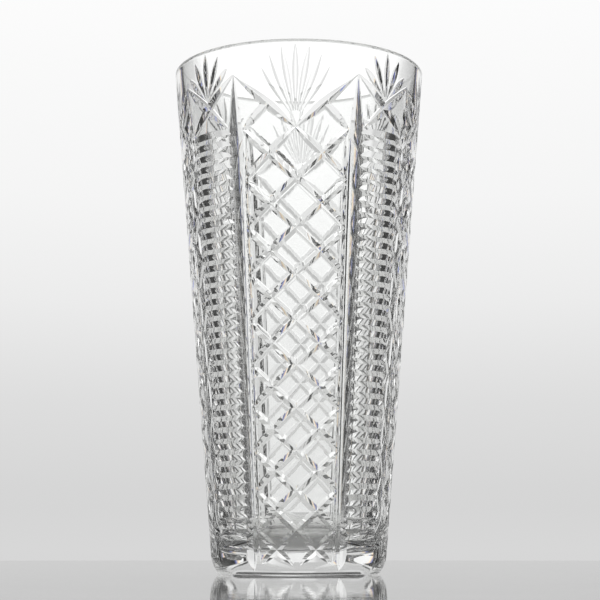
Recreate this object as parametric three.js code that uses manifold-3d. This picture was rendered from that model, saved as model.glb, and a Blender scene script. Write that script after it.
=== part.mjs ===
// A tall tapered vase of cut lead crystal: one thick blown blank, cut on the outside only.
// Four lattice panels of flat diamonds stand at 0, 90, 180 and 270 degrees, and four ladder panels
// of stacked level cuts stand between them. A wide upright mitre, the pillar, parts each panel from
// the next, crossed arms join the tops of the pillars, and a fan of leaves stands over every panel.
// Millimetres, +Z up. The origin is the centre of the foot, on the surface the vase stands on.
// Angles run round the axis in degrees, anticlockwise from above, and 0 is at the front, -Y.
import * as THREE from "three";
import { mergeVertices } from "three/addons/utils/BufferGeometryUtils.js";
import Module from "manifold-3d";

const wasm = await Module();
wasm.setup();

// The blank
const HEIGHT = 254;
const RIM_RADIUS = 63.5;
const HEEL_RADIUS = 43.4;
const HEEL_HEIGHT = 9;
const FOOT_RADIUS = 39.5;
const RIM_WALL = 4.5;
const FLOOR_WALL = 8;
const FLOOR_THICKNESS = 11;
const FLOOR_CORNER = 20;
const LIP_ROUND = 1.6;
const ROUND_SEGMENTS = 28; // a multiple of REPEATS, so that all the panels are alike

// The layout of the panels, where an angle is measured from the middle of its own panel
const REPEATS = 4;
const FRONT_TURN = -1.5; // the front panel stands a little off square
const PILLAR_ANGLE = 29.1; // from a lattice panel's middle to the pillar beside it
const LATTICE_ANGLE = 25; // from a lattice panel's middle to its side points
const EDGE_ANGLE = 23.4; // from a lattice panel's middle to the narrow line that bounds it
const RIM_BAND = 15.5; // from the lip down to the points of the pillars
const PILLAR_TAPER = 30; // the height over which a pillar runs out to its pointed top
const FOOT_SHARE = 0.75; // how much of its depth an upright cut has at the foot
const EDGE_TAPER = 20;
const ARM_DROP = 27.5; // from the points of the pillars down to a lattice's first crossing
const ROW_PITCH = 0.409; // the height of a row of diamonds over the radius there
const LADDER_DROP = 25.5; // from the points of the pillars down to the top of a ladder
const LADDER_FOOT = 13;
const RUNG_PITCH = 5.4;
const ARM_END = 12; // from a ladder panel's middle to the foot of a crossed arm

// The cuts: the depth of the keel below the skin, and the angle of each face off the way in
const PILLAR = { depth: 3, flank: 54 };
const EDGE = { depth: 1.2, flank: 58 };
const DIAGONAL = { depth: 1, flank: 66 };
const ARM = { depth: 1.4, flank: 58 };
const RUNG = { depth: 2.1, flank: 60 };
const LEAF = { depth: 0.8, flank: 62 };
const CLEAR = 1.5; // how far a cutter stands out of the skin

// The fans: leaves on each side of the middle one, the turn from one to the next, the distance of
// the point they spread from below the pillars' points, where a leaf starts and ends, and how much
// the outer ones fall short
const TALL_FAN = { sides: 3, turn: 10.6, drop: 24.5, start: 5, length: 37, droop: 0.65 };
const SHORT_FAN = { sides: 2, turn: 21.5, drop: 11, start: 2.5, length: 24, droop: 1 };

const { degToRad, radToDeg, lerp } = THREE.MathUtils;
const panelSpan = 360 / REPEATS;
const ladderMiddle = panelSpan / 2;
const pillarFromLadder = ladderMiddle - PILLAR_ANGLE;
const slope = (RIM_RADIUS - HEEL_RADIUS) / (HEIGHT - HEEL_HEIGHT);
const pillarTop = HEIGHT - RIM_BAND;
const latticeTop = pillarTop - ARM_DROP;
const ladderTop = pillarTop - LADDER_DROP;

// The blank's straight tapered skin, which runs on down past the rounded heel.
function skinRadius(height) {
  return HEEL_RADIUS + slope * (height - HEEL_HEIGHT);
}

// The height of a crossing on a lattice panel's middle. Rows get shorter as the vase narrows.
function rowHeight(row) {
  const radius = skinRadius(latticeTop) * Math.exp(-row * ROW_PITCH * slope);
  return HEEL_HEIGHT + (radius - HEEL_RADIUS) / slope;
}

// As many rows as there is room for above the foot.
const rows = Math.floor(Math.log(skinRadius(latticeTop) / skinRadius(0)) / (ROW_PITCH * slope));

// Points round part of a circle in the plane of the profile, between two directions in degrees.
function arc(x, y, radius, from, to, steps) {
  return Array.from({ length: steps + 1 }, (_, i) => {
    const a = degToRad(lerp(from, to, i / steps));
    return new THREE.Vector2(x + radius * Math.cos(a), y + radius * Math.sin(a));
  });
}

function toSolid(geometry) {
  geometry.deleteAttribute("normal");
  geometry.deleteAttribute("uv");
  const merged = mergeVertices(geometry, 1e-4);
  const vertProperties = merged.attributes.position.array;
  const triVerts = new Uint32Array(merged.index.array);
  return new wasm.Manifold(new wasm.Mesh({ numProp: 3, vertProperties, triVerts }));
}

function toGeometry(made) {
  const mesh = made.getMesh();
  const geometry = new THREE.BufferGeometry();
  geometry.setAttribute("position", new THREE.BufferAttribute(mesh.vertProperties, 3));
  geometry.setIndex(new THREE.BufferAttribute(mesh.triVerts, 1));
  geometry.computeVertexNormals();
  return geometry;
}

// The blank is turned: out under the foot, round the heel, up the skin, over the lip and down inside.
function blank() {
  const lipMiddle = HEIGHT - LIP_ROUND;
  const innerRim = RIM_RADIUS - RIM_WALL;
  const cornerMiddle = FLOOR_THICKNESS + FLOOR_CORNER;
  const innerFloor = skinRadius(cornerMiddle) - FLOOR_WALL;
  const heel = new THREE.QuadraticBezierCurve(
    new THREE.Vector2(FOOT_RADIUS, 0),
    new THREE.Vector2(skinRadius(0), 0.35 * HEEL_HEIGHT),
    new THREE.Vector2(HEEL_RADIUS, HEEL_HEIGHT),
  );
  const profile = [
    new THREE.Vector2(0, 0),
    ...heel.getPoints(2),
    ...arc(RIM_RADIUS - LIP_ROUND, lipMiddle, LIP_ROUND, 0, 90, 1),
    ...arc(innerRim + LIP_ROUND, lipMiddle, LIP_ROUND, 90, 180, 1),
    ...arc(innerFloor - FLOOR_CORNER, cornerMiddle, FLOOR_CORNER, 0, -90, 4),
    new THREE.Vector2(0, FLOOR_THICKNESS),
  ];
  return toSolid(new THREE.LatheGeometry(profile, ROUND_SEGMENTS).rotateX(Math.PI / 2));
}

// One pass of a mitre wheel: a three-sided prism bent along the skin, with its keel inwards.
// Each station gives an angle, a height and the share of the cut's full depth there.
function groove(stations, cut) {
  const last = stations.length - 1;
  const prism = new THREE.CylinderGeometry(1, 1, 1, 3, last);
  const spread = Math.tan(degToRad(cut.flank));
  const places = prism.attributes.position;
  for (let i = 0; i < places.count; i++) {
    const at = Math.round((places.getY(i) + 0.5) * last);
    const [angle, height, share] = stations[at];
    const before = stations[Math.max(at - 1, 0)];
    const after = stations[Math.min(at + 1, last)];
    const radius = skinRadius(height);
    const along = new THREE.Vector2(radius * degToRad(after[0] - before[0]), after[1] - before[1]);
    along.normalize();
    const isCapMiddle = Math.hypot(places.getX(i), places.getZ(i)) < 0.5;
    const corner = isCapMiddle ? 0 : Math.round(Math.atan2(places.getX(i), places.getZ(i)) / degToRad(120));
    const depth = cut.depth * share;
    const sideways = corner * spread * (depth + CLEAR);
    const keel = isCapMiddle ? 0 : -depth;
    const level = height + along.x * sideways;
    const turn = degToRad(angle - 90) - (along.y * sideways) / radius;
    const out = skinRadius(level) + (corner === 0 ? keel : CLEAR);
    places.setXYZ(i, out * Math.cos(turn), out * Math.sin(turn), level);
  }
  return toSolid(prism);
}

// Stations of a cut that is pointed at both ends, and deepest at the share of its length given.
function lens(path, steps, deepest) {
  const power = Math.log(0.5) / Math.log(deepest);
  return Array.from({ length: steps + 1 }, (_, i) => {
    const t = i / steps;
    return [...path(t), Math.sin(Math.PI * t ** power)];
  });
}

function straight(from, to) {
  return (t) => [lerp(from[0], to[0], t), lerp(from[1], to[1], t)];
}

// A pillar, from its pointed top down over the heel.
function pillar(angle) {
  const shoulder = pillarTop - PILLAR_TAPER;
  const stations = [[angle, pillarTop, 0], [angle, shoulder, 1], [angle, -PILLAR.depth, FOOT_SHARE]];
  return groove(stations, PILLAR);
}

// The two narrow lines that bound a lattice.
function edgeLines(middle) {
  const top = rowHeight(0);
  return [-1, 1].map((side) => {
    const angle = middle + side * EDGE_ANGLE;
    return groove([[angle, top, 0], [angle, top - EDGE_TAPER, 1], [angle, -EDGE.depth, FOOT_SHARE]], EDGE);
  });
}

// Both sets of diagonals of a lattice. They cross on its middle and half way to its sides, and
// each runs out at its ends. A diagonal falls by a row for each half of the panel's width.
function lattice(middle) {
  const diagonal = (side, row, columns) =>
    groove(columns.map(([column, share]) => {
      return [middle + side * column * LATTICE_ANGLE, rowHeight(row + column), share];
    }), DIAGONAL);
  const whole = [[-1, 0], [-0.5, 1], [0, 1], [0.5, 1], [1, 0]];
  return [-1, 1].flatMap((side) => [
    diagonal(side, -1, [[0.5, 1], [1, 0]]),
    diagonal(side, 0, [[0, 0], [0.5, 1], [1, 0]]),
    ...Array.from({ length: rows }, (_, i) => diagonal(side, i + 1, whole)),
  ]);
}

// The arms that run from the pillar tops to a lattice's first crossing.
function latticeArms(middle) {
  return [-1, 1].map((side) => {
    const path = straight([middle + side * PILLAR_ANGLE, pillarTop], [middle, rowHeight(0)]);
    return groove(lens(path, 4, 0.6), ARM);
  });
}

// The arms that cross over a ladder, each from one pillar's top to the ladder's far corner.
function ladderArms(middle) {
  return [-1, 1].map((side) => {
    const from = [middle + side * pillarFromLadder, pillarTop];
    const to = [middle - side * ARM_END, ladderTop];
    return groove(lens(straight(from, to), 4, 0.5), ARM);
  });
}

// A ladder, cut in one go by a straight toothed prism laid across the curve of the skin, so each rung
// is deepest at its middle and runs out at its ends. Its outline is drawn as the lift off the skin
// against the height: down the keels and the ridges, and back outside the skin.
function ladder(middle) {
  const spread = Math.tan(degToRad(RUNG.flank));
  const shoulder = spread * (RUNG.depth + CLEAR);
  const ridge = (0.5 * RUNG_PITCH) / spread - RUNG.depth;
  const rungs = Math.floor((ladderTop - LADDER_FOOT) / RUNG_PITCH);
  const keel = (rung) => ladderTop - RUNG_PITCH * (rung + 0.5);
  const outline = new THREE.Shape().moveTo(CLEAR, keel(0) + shoulder);
  for (let rung = 0; rung < rungs; rung++) {
    if (rung > 0) outline.lineTo(ridge, keel(rung - 0.5));
    outline.lineTo(-RUNG.depth, keel(rung));
  }
  outline.lineTo(CLEAR, keel(rungs - 1) - shoulder);
  const halfLength = 1.05 * Math.sqrt(2 * skinRadius(ladderTop) * RUNG.depth);
  const teeth = new THREE.ExtrudeGeometry(outline, { depth: 1, steps: 1, bevelEnabled: false });
  const places = teeth.attributes.position;
  for (let i = 0; i < places.count; i++) {
    const height = places.getY(i);
    const out = skinRadius(height) + places.getX(i);
    places.setXYZ(i, out, lerp(halfLength, -halfLength, places.getZ(i)), height);
  }
  return toSolid(teeth.rotateZ(degToRad(middle - 90)));
}

// A fan of leaves that spread upwards from a point on a panel's middle.
function fan(middle, shape) {
  return Array.from({ length: 2 * shape.sides + 1 }, (_, i) => {
    const place = i - shape.sides;
    const turn = degToRad(shape.turn * place);
    const reach = shape.length - shape.droop * place ** 2;
    const path = (t) => {
      const far = lerp(shape.start, reach, t);
      const level = pillarTop - shape.drop + far * Math.cos(turn);
      return [middle + radToDeg((far * Math.sin(turn)) / skinRadius(level)), level];
    };
    return groove(lens(path, 2, 0.6), LEAF);
  });
}

function cuts() {
  return Array.from({ length: REPEATS }, (_, i) => {
    const front = i * panelSpan;
    const between = front + ladderMiddle;
    return [
      pillar(front - PILLAR_ANGLE),
      pillar(front + PILLAR_ANGLE),
      ...edgeLines(front),
      ...lattice(front),
      ...latticeArms(front),
      ...ladderArms(between),
      ladder(between),
      ...fan(front, TALL_FAN),
      ...fan(between, SHORT_FAN),
    ];
  }).flat();
}

const glass = new THREE.MeshStandardMaterial({ color: 0xf4f6f6, roughness: 0.03, metalness: 0 });
const cutBlank = cuts().reduce((made, cut) => made.subtract(cut), blank());
const body = new THREE.Mesh(toGeometry(cutBlank), glass);
body.name = "vase_body";
body.rotation.z = degToRad(FRONT_TURN);

const vase = new THREE.Group();
vase.add(body);

export default vase;
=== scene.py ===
from math import cos, exp, log, pi, radians, sin, tan

import bmesh
import bpy
from bpy.props import FloatProperty, FloatVectorProperty, IntProperty, PointerProperty
from bpy.types import Operator, Panel, PropertyGroup
from mathutils import Matrix, Vector


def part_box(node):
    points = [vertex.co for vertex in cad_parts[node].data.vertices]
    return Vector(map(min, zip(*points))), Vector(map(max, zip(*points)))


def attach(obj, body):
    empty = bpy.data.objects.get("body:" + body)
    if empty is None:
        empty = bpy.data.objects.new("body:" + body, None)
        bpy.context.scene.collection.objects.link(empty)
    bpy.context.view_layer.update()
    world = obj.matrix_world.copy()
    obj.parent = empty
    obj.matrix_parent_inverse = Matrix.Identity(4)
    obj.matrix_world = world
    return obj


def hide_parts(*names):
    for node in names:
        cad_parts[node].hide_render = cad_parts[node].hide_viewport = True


bl_info = {
    "name": "Cut Crystal Vase",
    "version": (1, 0, 0),
    "blender": (4, 5, 0),
    "location": "3D View > Sidebar > Cut Vase",
    "description": "Turns a crystal blank, cuts its panels and sets it in a pale studio",
    "category": "Object",
}

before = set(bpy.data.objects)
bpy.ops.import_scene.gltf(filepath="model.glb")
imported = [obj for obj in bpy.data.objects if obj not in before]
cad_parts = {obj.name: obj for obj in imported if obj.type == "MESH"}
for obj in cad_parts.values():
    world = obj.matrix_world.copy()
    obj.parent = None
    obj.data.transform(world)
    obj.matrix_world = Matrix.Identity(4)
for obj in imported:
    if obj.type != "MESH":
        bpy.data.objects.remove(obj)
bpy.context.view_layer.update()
LOW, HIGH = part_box("vase_body")
MM = 0.001
UP = Vector((0.0, 0.0, 1.0))
PANELS = 4
HEEL_STEPS = 8
CLEAR = 1.5 * MM  # how far a cutter stands out of the skin
PROUD = 0.1 * MM  # how far off the skin the rounded edge of a cut ends
FLARE = 4.0  # how many times wider than high that rounded edge is
TIP_LIFT = 0.03 * MM  # how far the pointed end of a cutter lies off the skin
CUT_FOOT = -3 * MM  # the uprights run out past the foot
AIR_GAP = 0.15 * MM  # the film of air under the polished foot
SHARP = radians(10)  # faces that meet at more than this keep a crisp edge
CRYSTAL_IOR = 1.545
TABLE_POLISH = 0.01  # roughness of the table where it is clean
WORN = (0.3, 0.7)  # noise between which the wear goes from least to most
BOUNCES = 24  # light crosses the wall and its cuts many times
GLOSSY_BOUNCES = 12


def length(name, description, millimetres):
    return FloatProperty(name=name, description=description, default=millimetres * MM,
                         unit="LENGTH", precision=5)


def turn(name, description, degrees):
    return FloatProperty(name=name, description=description, default=radians(degrees),
                         subtype="ANGLE")


def colour(name, description, value):
    return FloatVectorProperty(name=name, description=description, default=value, subtype="COLOR",
                               size=3, min=0.0, max=1.0)


class VaseBlank(PropertyGroup):
    height: FloatProperty(name="Height", description="From the table to the lip",
                          default=HIGH.z, unit="LENGTH")
    rim_radius: FloatProperty(name="Rim radius", description="Outside radius of the mouth",
                              default=(HIGH.x - LOW.x) / 2, unit="LENGTH")
    heel_radius: length("Heel radius", "Outside radius at the top of the rounded heel", 43.4)
    heel_height: length("Heel height", "Height of the rounded heel", 9.0)
    foot_radius: length("Foot radius", "Radius of the flat foot", 39.5)
    rim_wall: length("Rim wall", "Thickness of the wall below the lip", 4.5)
    floor_wall: length("Floor wall", "Thickness of the wall at the floor", 8.0)
    floor_thickness: length("Floor thickness", "Thickness of the glass under the well", 11.0)
    floor_corner: length("Floor corner", "Radius of the corner round the floor of the well", 20.0)
    lip_round: length("Lip round", "Radius of the polished edge of the lip", 1.6)
    segments: IntProperty(name="Segments", description="Faces round the blank", default=288, min=48)


class VaseCuts(PropertyGroup):
    front_turn: turn("Front turn", "How far the front panel stands off square", -1.5)
    pillar_angle: turn("Pillar angle", "From a lattice's middle to the pillar beside it", 29.1)
    pillar_top: length("Pillar top", "Height of a pillar's point", 238.5)
    pillar_taper: length("Pillar taper", "Height over which a pillar runs out to its point", 30.0)
    edge_angle: turn("Edge angle", "From a lattice's middle to the line that bounds it", 23.4)
    edge_taper: length("Edge taper", "Height over which a bounding line runs out", 20.0)
    lattice_angle: turn("Lattice angle", "From a lattice's middle to its side points", 25.0)
    lattice_top: length("Lattice top", "Height of a lattice's first crossing", 211.0)
    rows: IntProperty(name="Rows", description="Rows of diamonds in a lattice", default=10, min=1)
    row_pitch: FloatProperty(name="Row pitch", description="Height of a row over the radius there",
                             default=0.409)
    ladder_top: length("Ladder top", "Height of the top of a ladder", 213.0)
    ladder_foot: length("Ladder foot", "Height of the foot of a ladder", 13.0)
    rung_pitch: length("Rung pitch", "From one rung to the next", 5.4)
    rung_gap: turn("Rung gap", "From the end of a rung to the keel of the pillar", 2.0)
    arm_end: turn("Arm end", "From a ladder's middle to the foot of a crossed arm", 12.0)


class VaseFinish(PropertyGroup):
    tint: colour("Tint", "Colour of the clear crystal", (0.985, 0.99, 0.985))
    wave_height: length("Wave height", "Height of the faint waves left by the fire polish", 0.02)
    wave_size: length("Wave size", "Distance from one wave to the next", 14.0)
    wear_size: length("Wear size", "Distance from one worn patch to the next", 16.0)
    wear: FloatProperty(name="Wear", description="Roughness where the polish is most worn",
                        default=0.02)


class VaseStudio(PropertyGroup):
    distance: length("Camera distance", "From the camera to the vase's axis", 838.0)
    camera_height: length("Camera height", "Height of the camera over the table", 11.4)
    camera_side: length("Camera side", "How far the camera stands to the right of the axis", 0.6)
    tilt: turn("Camera tilt", "How far the camera looks up", 8.49)
    lens: FloatProperty(name="Lens", description="Focal length on a 36 mm sensor, in millimetres",
                        default=100.5)
    table_colour: colour("Table colour", "Colour of the table", (0.75, 0.75, 0.74))
    ripple_size: length("Ripple size", "Distance from one ripple of the table to the next", 11.0)
    ripple_height: length("Ripple height", "Height of the table's ripples", 0.04)
    smear_size: length("Smear size", "Distance from one smear on the table to the next", 70.0)
    smear: FloatProperty(name="Smear", description="Roughness of the table where it is smeared",
                         default=0.035)
    table_radius: length("Table radius", "From the vase's axis to the edge of the table", 1070.0)


class Wheel:
    """A mitre wheel's cut. The sizes are in millimetres: its depth, the round of its keel and the
    round of its shoulders. The flank is the angle of each face off the way in, in degrees."""

    def __init__(self, depth, flank, keel_round=0.25, shoulder=0.06):
        self.depth = depth * MM
        self.spread = tan(radians(flank))
        self.flank = radians(flank)
        self.keel_round = keel_round * MM
        self.shoulder = shoulder * MM

    def section(self, share):
        """The cutter's outline, sideways and off the skin, where it cuts a share of its depth."""
        depth = self.depth * share
        lift = TIP_LIFT * (1.0 - share)
        ball = min(self.keel_round, 0.5 * depth)
        middle = ball / sin(self.flank) - depth
        shoulder = min(self.shoulder, 0.3 * depth)
        face_end = self.spread * (depth - shoulder)
        edge = face_end + FLARE * (shoulder + PROUD)
        half = [
            (ball * cos(self.flank), middle - ball * sin(self.flank)),
            (face_end, -shoulder),
            (edge, PROUD),
            (edge, CLEAR),
        ]
        bottom = [(0.0, middle - ball)]
        points = bottom + half + [(-x, y) for x, y in reversed(half)]
        return [(x, y + lift) for x, y in points]


PILLAR = Wheel(2.8, 55.5)
EDGE = Wheel(0.55, 57)
DIAGONAL = Wheel(0.8, 66)
ARM = Wheel(1.5, 58)
LEAF = Wheel(0.85, 60)
TALL_LEAF = Wheel(0.3, 76)
RUNG = Wheel(2.0, 59)


def mix(a, b, t):
    return a + (b - a) * t


def slope():
    b = bpy.context.scene.vase_blank
    return (b.rim_radius - b.heel_radius) / (b.height - b.heel_height)


def skin_radius(height):
    """Radius of the blank's straight tapered skin, which runs on down past the heel."""
    b = bpy.context.scene.vase_blank
    return b.heel_radius + slope() * (height - b.heel_height)


def row_height(row):
    """Height of a crossing on a lattice's middle. The rows get shorter as the vase narrows."""
    b = bpy.context.scene.vase_blank
    c = bpy.context.scene.vase_cuts
    radius = skin_radius(c.lattice_top) * exp(-row * c.row_pitch * slope())
    return b.heel_height + (radius - b.heel_radius) / slope()


def on_skin(angle, height, lift=0.0):
    """A point at an angle and a height, lifted off the skin."""
    out = skin_radius(height) + lift
    return Vector((out * sin(angle), -out * cos(angle), height))


def arc(x, y, radius, start, end, steps):
    """Points round part of a circle in the profile's plane, between two directions in degrees."""
    turns = [radians(mix(start, end, i / steps)) for i in range(steps + 1)]
    return [Vector((x + radius * cos(a), 0.0, y + radius * sin(a))) for a in turns]


def new_object(name, bm):
    """The bmesh as an object at the origin, with its faces pointing out."""
    bmesh.ops.recalc_face_normals(bm, faces=bm.faces)
    mesh = bpy.data.meshes.new(name)
    bm.to_mesh(mesh)
    bm.free()
    made = bpy.data.objects.new(name, mesh)
    bpy.context.scene.collection.objects.link(made)
    return made


def sweep(bm, rings):
    """A closed solid that is one outline carried through the rings of points."""
    face = bm.faces.new([bm.verts.new(point) for point in rings[0]])
    for number, ring in enumerate(rings[1:]):
        grown = bmesh.ops.extrude_face_region(bm, geom=[face])["geom"]
        if number:
            bm.faces.remove(face)
        face = next(item for item in grown if isinstance(item, bmesh.types.BMFace))
        for vert, point in zip(face.verts, ring):
            vert.co = point


def groove(bm, path, wheel, share, steps):
    """One pass of a wheel along the skin. path(t) gives the angle and the height, from t = 0 to 1,
    and share(t) is how much of the wheel's full depth it cuts there."""
    rings = []
    for i in range(steps + 1):
        t = i / steps
        angle, height = path(t)
        before = path(t - 0.01)
        after = path(t + 0.01)
        radius = skin_radius(height)
        along = Vector((radius * (after[0] - before[0]), after[1] - before[1])).normalized()
        rings.append([
            on_skin(angle - along.y * side / radius, height + along.x * side, lift)
            for side, lift in wheel.section(share(t))
        ])
    sweep(bm, rings)


def straight(start, end):
    return lambda t: (mix(start[0], end[0], t), mix(start[1], end[1], t))


def lens(deepest):
    """The share of a cut that is pointed at both ends and deepest at the part of its length given."""
    power = log(0.5) / log(deepest)
    return lambda t: sin(pi * t ** power)


def run_out(start, end):
    """The share of a cut that is full all along but runs out over the parts of its length given."""
    def share(t):
        first = min(1.0, t / start) if start else 1.0
        last = min(1.0, (1.0 - t) / end) if end else 1.0
        return sin(min(first, last) * pi / 2)
    return share


def repeat_round(bm):
    """Copies what is in the bmesh to the other panels."""
    source = bm.verts[:] + bm.edges[:] + bm.faces[:]
    for i in range(1, PANELS):
        made = bmesh.ops.duplicate(bm, geom=source)["geom"]
        verts = [item for item in made if isinstance(item, bmesh.types.BMVert)]
        bmesh.ops.rotate(bm, verts=verts, matrix=Matrix.Rotation(i * 2 * pi / PANELS, 3, "Z"))


def cut_blank(name, bm):
    """Turns the bmesh into a cutter for every panel and takes it out of the blank."""
    repeat_round(bm)
    cutter = new_object(name, bm)
    cutter.hide_render = True
    blank = bpy.data.objects.get("crystal_vase")
    if blank is None:
        raise RuntimeError("turn the blank before it is cut")
    taken = blank.modifiers.new(name, "BOOLEAN")
    taken.operation = "DIFFERENCE"
    taken.solver = "MANIFOLD"
    taken.object = cutter


class VASE_OT_blank(Operator):
    """Turn the thick blank from its profile"""
    bl_idname = "vase.blank"
    bl_label = "Turn blank"

    def execute(self, context):
        b = context.scene.vase_blank
        lip = b.height - b.lip_round
        corner = b.floor_thickness + b.floor_corner
        inner_floor = skin_radius(corner) - b.floor_wall
        inner_rim = b.rim_radius - b.rim_wall
        heel_control = Vector((skin_radius(0.0), 0.0, 0.35 * b.heel_height))
        foot = Vector((b.foot_radius, 0.0, 0.0))
        heel = Vector((b.heel_radius, 0.0, b.heel_height))
        profile = [Vector((0.0, 0.0, 0.0))]
        for i in range(HEEL_STEPS + 1):
            t = i / HEEL_STEPS
            profile.append(mix(mix(foot, heel_control, t), mix(heel_control, heel, t), t))
        profile += arc(b.rim_radius - b.lip_round, lip, b.lip_round, 0, 90, 6)
        profile += arc(inner_rim + b.lip_round, lip, b.lip_round, 90, 180, 6)
        profile += arc(inner_floor - b.floor_corner, corner, b.floor_corner, 0, -90, 10)
        profile += [Vector((0.0, 0.0, b.floor_thickness))]
        bm = bmesh.new()
        verts = [bm.verts.new(point) for point in profile]
        edges = [bm.edges.new(pair) for pair in zip(verts, verts[1:])]
        bmesh.ops.spin(bm, geom=verts + edges, cent=(0, 0, 0), axis=UP, angle=2 * pi,
                       steps=b.segments, use_merge=True)
        bmesh.ops.remove_doubles(bm, verts=bm.verts, dist=1e-6)
        new_object("crystal_vase", bm)
        return {"FINISHED"}


class VASE_OT_uprights(Operator):
    """Cut the wide pillars and the lines that bound the lattices"""
    bl_idname = "vase.uprights"
    bl_label = "Cut uprights"

    def execute(self, context):
        c = context.scene.vase_cuts
        lines = (
            ("pillar_cutter", c.pillar_angle, c.pillar_top, c.pillar_taper, PILLAR),
            ("edge_cutter", c.edge_angle, row_height(0), c.edge_taper, EDGE),
        )
        for name, angle, top, taper, wheel in lines:
            narrowing = skin_radius(0.0) / skin_radius(top)

            def share(t, top=top, taper=taper, narrowing=narrowing):
                fallen = t * (top - CUT_FOOT)
                return min(1.0, fallen / taper) * mix(1.0, narrowing, t)

            bm = bmesh.new()
            for side in (-1, 1):
                down = straight((side * angle, top), (side * angle, CUT_FOOT))
                groove(bm, down, wheel, share, 64)
            cut_blank(name, bm)
        return {"FINISHED"}


class VASE_OT_lattices(Operator):
    """Cut the crossing diagonals that leave flat diamonds"""
    bl_idname = "vase.lattices"
    bl_label = "Cut lattices"

    def execute(self, context):
        c = context.scene.vase_cuts
        for side, name in ((-1, "falling_cutter"), (1, "rising_cutter")):
            bm = bmesh.new()
            # row, first and last column, and the parts of the length over which it runs out
            strokes = [(-1, 0.5, 1.0, 0.0, 0.5), (0, 0.0, 1.0, 0.3, 0.12)]
            strokes += [(row, -1.0, 1.0, 0.08, 0.08) for row in range(1, c.rows + 1)]
            for row, first, last, start, end in strokes:

                def path(t, row=row, first=first, last=last):
                    column = mix(first, last, t)
                    return side * column * c.lattice_angle, row_height(row + column)

                groove(bm, path, DIAGONAL, run_out(start, end), round(12 * (last - first)) + 4)
            cut_blank(name, bm)
        return {"FINISHED"}


class VASE_OT_arms(Operator):
    """Cut the arms that join the tops of the pillars"""
    bl_idname = "vase.arms"
    bl_label = "Cut arms"

    def execute(self, context):
        c = context.scene.vase_cuts
        half = pi / PANELS
        for side, name in ((-1, "left_arm_cutter"), (1, "right_arm_cutter")):
            bm = bmesh.new()
            to_lattice = straight((side * c.pillar_angle, c.pillar_top), (0.0, row_height(0)))
            groove(bm, to_lattice, ARM, lens(0.6), 20)
            start = (half - side * (half - c.pillar_angle), c.pillar_top)
            groove(bm, straight(start, (half + side * c.arm_end, c.ladder_top)), ARM, lens(0.5), 20)
            cut_blank(name, bm)
        return {"FINISHED"}


class VASE_OT_ladders(Operator):
    """Cut the stacks of level rungs, straight across the curve of the skin"""
    bl_idname = "vase.ladders"
    bl_label = "Cut ladders"

    def execute(self, context):
        c = context.scene.vase_cuts
        rungs = int((c.ladder_top - c.ladder_foot) / c.rung_pitch)
        half_pitch = c.rung_pitch / 2
        keel_flat = 0.1 * MM
        ridge_flat = 0.01 * MM
        shallowest = 0.1 * MM
        middle = pi / PANELS
        reach = middle - c.pillar_angle - c.rung_gap
        steps = 20
        bm = bmesh.new()
        rings = []
        for i in range(steps + 1):
            angle = mix(-reach, reach, i / steps)
            outline = []
            for rung in range(rungs):
                keel = c.ladder_top - (2 * rung + 1) * half_pitch
                curve = skin_radius(keel) * (1.0 - cos(angle))
                depth = max(shallowest, RUNG.depth - curve)
                shoulder = RUNG.spread * (depth + PROUD)
                half = min(shoulder, half_pitch - ridge_flat)
                peak = half / RUNG.spread - depth
                if rung == 0:
                    outline += [(CLEAR, keel + half), (peak, keel + half)]
                else:
                    outline += [(peak, keel + half)]
                outline += [(-depth, keel + keel_flat), (-depth, keel - keel_flat)]
                outline += [(peak, keel - half)]
            outline += [(CLEAR, keel - half)]
            rings.append([on_skin(middle + angle, height, lift) for lift, height in outline])
        sweep(bm, rings)
        cut_blank("ladder_cutter", bm)
        return {"FINISHED"}


class VASE_OT_fans(Operator):
    """Cut the fans of leaves over the panels"""
    bl_idname = "vase.fans"
    bl_label = "Cut fans"

    def execute(self, context):
        # the panel's middle, leaves on each side, degrees from leaf to leaf, then in millimetres the
        # height they spread from, where a leaf starts and ends and how the outer ones fall short
        fans = (
            (0.0, 3, 10.6, 214.0, 5.0, 37.0, 0.65, TALL_LEAF),
            (pi / PANELS, 2, 21.5, 227.5, 2.5, 24.0, 1.0, LEAF),
        )
        bm = bmesh.new()
        for middle, sides, spread, foot, start, reach, droop, wheel in fans:
            for place in range(-sides, sides + 1):

                def path(t, place=place):
                    far = mix(start, reach - droop * place * place, t) * MM
                    height = foot * MM + far * cos(radians(spread * place))
                    return middle + far * sin(radians(spread * place)) / skin_radius(height), height

                groove(bm, path, wheel, lens(0.6), 12)
        cut_blank("fan_cutter", bm)
        return {"FINISHED"}


def maths(nodes, links, operation, a, b=None):
    """A Math node's output. Each of a and b is a number or another node's output."""
    made = nodes.new("ShaderNodeMath")
    made.operation = operation
    for socket, value in zip(made.inputs, (a, b)):
        if isinstance(value, (int, float)):
            socket.default_value = value
        elif value is not None:
            links.new(value, socket)
    return made.outputs[0]


def ramp(nodes, links, value, low, high, stops):
    """Colours along a value. Each stop is a value from low to high and the grey or colour there."""
    scaled = nodes.new("ShaderNodeMapRange")
    scaled.inputs["From Min"].default_value = low
    scaled.inputs["From Max"].default_value = high
    links.new(value, scaled.inputs["Value"])
    made = nodes.new("ShaderNodeValToRGB")
    elements = made.color_ramp.elements
    while len(elements) < len(stops):
        elements.new(1.0)
    for element, (place, shade) in zip(elements, stops):
        element.position = (place - low) / (high - low)
        element.color = (shade, shade, shade, 1.0) if isinstance(shade, float) else (*shade, 1.0)
    links.new(scaled.outputs["Result"], made.inputs["Fac"])
    return made.outputs["Color"]


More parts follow.
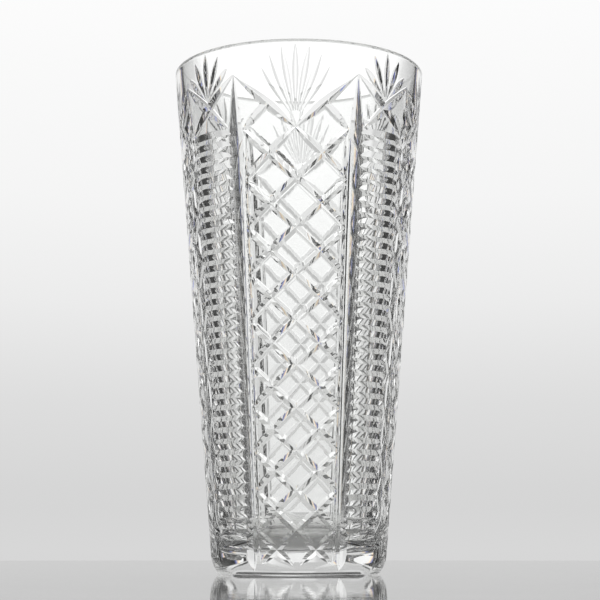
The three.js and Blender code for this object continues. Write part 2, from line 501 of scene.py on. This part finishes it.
def blend(nodes, links, share, a, b):
    """Colour a where the share is 0 and b where it is 1. Each is a grey or another node's output."""
    made = nodes.new("ShaderNodeMix")
    made.data_type = "RGBA"
    links.new(share, made.inputs["Factor"])
    for socket, value in ((made.inputs[6], a), (made.inputs[7], b)):
        if isinstance(value, float):
            socket.default_value = (value, value, value, 1.0)
        else:
            links.new(value, socket)
    return made.outputs[2]


def noise(nodes, links, coordinates, size, detail):
    """Noise whose lumps are as far apart as another node's output says, in metres."""
    made = nodes.new("ShaderNodeTexNoise")
    links.new(maths(nodes, links, "DIVIDE", 1.0, size), made.inputs["Scale"])
    made.inputs["Detail"].default_value = detail
    links.new(coordinates, made.inputs["Vector"])
    return made.outputs["Fac"]


def polish_group():
    """Faint waves and a thin uneven film of wear, shared by every polished surface."""
    if "polished_surface" in bpy.data.node_groups:
        return bpy.data.node_groups["polished_surface"]
    group = bpy.data.node_groups.new("polished_surface", "ShaderNodeTree")
    for name in ("Wave Size", "Wave Height", "Wear Size", "Least Wear", "Most Wear"):
        group.interface.new_socket(name, in_out="INPUT", socket_type="NodeSocketFloat")
    group.interface.new_socket("Roughness", in_out="OUTPUT", socket_type="NodeSocketFloat")
    group.interface.new_socket("Normal", in_out="OUTPUT", socket_type="NodeSocketVector")
    nodes = group.nodes
    links = group.links
    asked = nodes.new("NodeGroupInput").outputs
    given = nodes.new("NodeGroupOutput").inputs
    place = nodes.new("ShaderNodeTexCoord").outputs["Object"]
    bump = nodes.new("ShaderNodeBump")
    links.new(asked["Wave Height"], bump.inputs["Distance"])
    links.new(noise(nodes, links, place, asked["Wave Size"], 2.0), bump.inputs["Height"])
    links.new(bump.outputs["Normal"], given["Normal"])
    wear = nodes.new("ShaderNodeMapRange")
    wear.inputs["From Min"].default_value, wear.inputs["From Max"].default_value = WORN
    links.new(asked["Least Wear"], wear.inputs["To Min"])
    links.new(asked["Most Wear"], wear.inputs["To Max"])
    links.new(noise(nodes, links, place, asked["Wear Size"], 4.0), wear.inputs["Value"])
    links.new(wear.outputs["Result"], given["Roughness"])
    return group


def polish(material, wave_size, wave_height, wear_size, least_wear, most_wear):
    """Give a material's surface its waves and its wear."""
    nodes = material.node_tree.nodes
    links = material.node_tree.links
    made = nodes.new("ShaderNodeGroup")
    made.node_tree = polish_group()
    values = (wave_size, wave_height, wear_size, least_wear, most_wear)
    for socket, value in zip(made.inputs, values):
        socket.default_value = value
    for name in ("Roughness", "Normal"):
        links.new(made.outputs[name], nodes["Principled BSDF"].inputs[name])


def crystal_material():
    """Clear colourless lead crystal: faint waves from the fire polish and a little wear."""
    f = bpy.context.scene.vase_finish
    material = bpy.data.materials.new("lead_crystal")
    material.use_nodes = True
    shader = material.node_tree.nodes["Principled BSDF"]
    shader.inputs["Base Color"].default_value = (*f.tint, 1.0)
    shader.inputs["Transmission Weight"].default_value = 1.0
    shader.inputs["IOR"].default_value = CRYSTAL_IOR
    polish(material, f.wave_size, f.wave_height, f.wear_size, 0.0, f.wear)
    return material


class VASE_OT_body(Operator):
    """Finish the cut blank as one piece of polished crystal"""
    bl_idname = "vase.body"
    bl_label = "Finish body"

    def execute(self, context):
        blank = bpy.data.objects.get("crystal_vase")
        if blank is None:
            raise RuntimeError("there is no blank to finish")
        cutters = [modifier.object for modifier in blank.modifiers]
        context.view_layer.update()
        finished = blank.evaluated_get(context.evaluated_depsgraph_get())
        cut = bpy.data.meshes.new_from_object(finished)
        blank.modifiers.clear()
        for cutter in cutters:
            bpy.data.objects.remove(cutter)
        cut.name = "crystal_vase"
        cut.transform(Matrix.Rotation(context.scene.vase_cuts.front_turn, 4, "Z"))
        cut.shade_smooth()
        cut.set_sharp_from_angle(angle=SHARP)
        blank.data = cut
        cut.materials.clear()
        cut.materials.append(crystal_material())
        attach(blank, "root")
        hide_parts("vase_body")
        return {"FINISHED"}


# The studio. Directions are in degrees: heights are above the horizon, and turns are to either side
# of the middle of the backdrop, which stands behind the vase.
BACKDROP = (  # height, grey
    (-90.0, 0.62), (-3.0, 0.64), (0.0, 0.68), (1.7, 0.665), (5.1, 0.73), (8.5, 0.84),
    (11.9, 0.91), (18.6, 0.973), (90.0, 1.0),
)
GLOW = (  # turn, how much brighter the backdrop is there, with the fringes of the flags' edges
    (0.0, 1.35), (6.0, 1.3), (8.5, 0.92), (24.0, 1.05), (31.5, 1.1), (33.0, (1.2, 1.05, 0.8)),
    (34.0, (1.0, 0.72, 0.5)), (35.0, (0.55, 0.62, 1.0)), (36.5, (0.35, 0.45, 1.2)), (50.0, 1.0),
)
FLAG_EDGE = ((34.0, 0.0), (37.0, 1.0))  # turn, share of the black flags
FLAG_WINDOW = ((63.0, 1.0), (66.0, 0.0), (114.0, 0.0), (117.0, 1.0))  # the gap in them at each side
WINDOW_TOP = ((4.0, 0.0), (5.0, 1.0))  # height of that gap
FLAG_FOOT = ((-6.5, 0.0), (-5.5, 1.0))  # height that the flags stand from
CEILING = ((30.0, 0.0), (40.0, 1.0))  # height that the grey ceiling starts at
CEILING_GREY = 0.22
FLAG_GREY = 0.02
FLAG_SHEEN = 0.15  # how light the flags are in a plain reflection
REFLECTED = 0.93  # how bright the backdrop is in a plain reflection


def studio_world():
    """A pale backdrop that brightens upwards, with black flags and a grey ceiling that show only
    through the glass and in reflections. The camera sees the backdrop alone, and it alone lights
    the table's own colour."""
    world = bpy.data.worlds.new("studio")
    world.use_nodes = True
    nodes = world.node_tree.nodes
    links = world.node_tree.links

    def height_ramp(stops):
        return ramp(nodes, links, height, -90.0, 90.0, stops)

    def turn_ramp(stops):
        return ramp(nodes, links, from_back, 0.0, 180.0, stops)

    split = nodes.new("ShaderNodeSeparateXYZ")
    links.new(nodes.new("ShaderNodeTexCoord").outputs["Generated"], split.inputs[0])
    height = maths(nodes, links, "DEGREES", maths(nodes, links, "ARCSINE", split.outputs["Z"]))
    around = maths(nodes, links, "ARCTAN2", split.outputs["X"], split.outputs["Y"])
    from_back = maths(nodes, links, "PINGPONG", maths(nodes, links, "DEGREES", around), 180.0)
    backdrop = height_ramp(BACKDROP)
    beside = maths(nodes, links, "MAXIMUM", turn_ramp(FLAG_WINDOW), height_ramp(WINDOW_TOP))
    flag = maths(nodes, links, "MULTIPLY", turn_ramp(FLAG_EDGE), beside)
    flag = maths(nodes, links, "MULTIPLY", flag, height_ramp(FLAG_FOOT))
    glowing = nodes.new("ShaderNodeVectorMath")
    glowing.operation = "MULTIPLY"
    links.new(backdrop, glowing.inputs[0])
    links.new(turn_ramp(GLOW), glowing.inputs[1])
    light_path = nodes.new("ShaderNodeLightPath").outputs
    through = light_path["Is Transmission Ray"]
    dimming = maths(nodes, links, "SUBTRACT", 1.0, REFLECTED)
    dimmed = blend(nodes, links, dimming, backdrop, 0.0)
    lit = blend(nodes, links, through, dimmed, glowing.outputs[0])
    dark = blend(nodes, links, through, FLAG_SHEEN, FLAG_GREY)
    flagged = blend(nodes, links, flag, lit, dark)
    room = blend(nodes, links, height_ramp(CEILING), flagged, CEILING_GREY)
    on_table = maths(nodes, links, "GREATER_THAN", light_path["Diffuse Depth"], 0.5)
    unflagged = maths(nodes, links, "MAXIMUM", on_table, light_path["Is Camera Ray"])
    seen = blend(nodes, links, unflagged, room, backdrop)
    links.new(seen, nodes["Background"].inputs["Color"])
    bpy.context.scene.world = world


class VASE_OT_stage(Operator):
    """Lay the pale table, light the studio and set the camera"""
    bl_idname = "vase.stage"
    bl_label = "Set stage"

    def execute(self, context):
        scene = context.scene
        s = scene.vase_studio
        bm = bmesh.new()
        bmesh.ops.create_circle(bm, cap_ends=True, segments=128, radius=s.table_radius)
        bmesh.ops.translate(bm, verts=bm.verts, vec=(0.0, 0.0, -AIR_GAP))
        table = new_object("table", bm)
        material = bpy.data.materials.new("pale_table")
        material.use_nodes = True
        shader = material.node_tree.nodes["Principled BSDF"]
        shader.inputs["Base Color"].default_value = (*s.table_colour, 1.0)
        polish(material, s.ripple_size, s.ripple_height, s.smear_size, TABLE_POLISH, s.smear)
        table.data.materials.append(material)
        studio_world()
        camera = bpy.data.objects.new("camera", bpy.data.cameras.new("camera"))
        camera.data.lens = s.lens
        camera.data.sensor_width = 36.0
        camera.data.clip_end = 20.0
        camera.location = (s.camera_side, -s.distance, s.camera_height)
        camera.rotation_euler = (pi / 2 + s.tilt, 0.0, 0.0)
        scene.collection.objects.link(camera)
        scene.camera = camera
        scene.cycles.max_bounces = BOUNCES
        scene.cycles.transmission_bounces = BOUNCES
        scene.cycles.glossy_bounces = GLOSSY_BOUNCES
        scene.view_settings.view_transform = "Standard"
        return {"FINISHED"}


class VASE_PT_sidebar(Panel):
    """Lists the steps that make the vase"""
    bl_label = "Cut Crystal Vase"
    bl_idname = "VASE_PT_sidebar"
    bl_space_type = "VIEW_3D"
    bl_region_type = "UI"
    bl_category = "Cut Vase"

    def draw(self, context):
        for operator in OPERATORS:
            self.layout.operator(operator.bl_idname)


OPERATORS = (VASE_OT_blank, VASE_OT_uprights, VASE_OT_lattices, VASE_OT_arms, VASE_OT_ladders,
             VASE_OT_fans, VASE_OT_body, VASE_OT_stage)
GROUPS = {"vase_blank": VaseBlank, "vase_cuts": VaseCuts, "vase_finish": VaseFinish,
          "vase_studio": VaseStudio}


def register():
    for made in (*GROUPS.values(), *OPERATORS, VASE_PT_sidebar):
        bpy.utils.register_class(made)
    for name, group in GROUPS.items():
        setattr(bpy.types.Scene, name, PointerProperty(type=group))


def unregister():
    for name in GROUPS:
        delattr(bpy.types.Scene, name)
    for made in reversed((*GROUPS.values(), *OPERATORS, VASE_PT_sidebar)):
        bpy.utils.unregister_class(made)


def main():
    register()
    bpy.ops.vase.blank()
    bpy.ops.vase.uprights()
    bpy.ops.vase.lattices()
    bpy.ops.vase.arms()
    bpy.ops.vase.ladders()
    bpy.ops.vase.fans()
    bpy.ops.vase.body()
    bpy.ops.vase.stage()


if __name__ == "__main__":
    main()
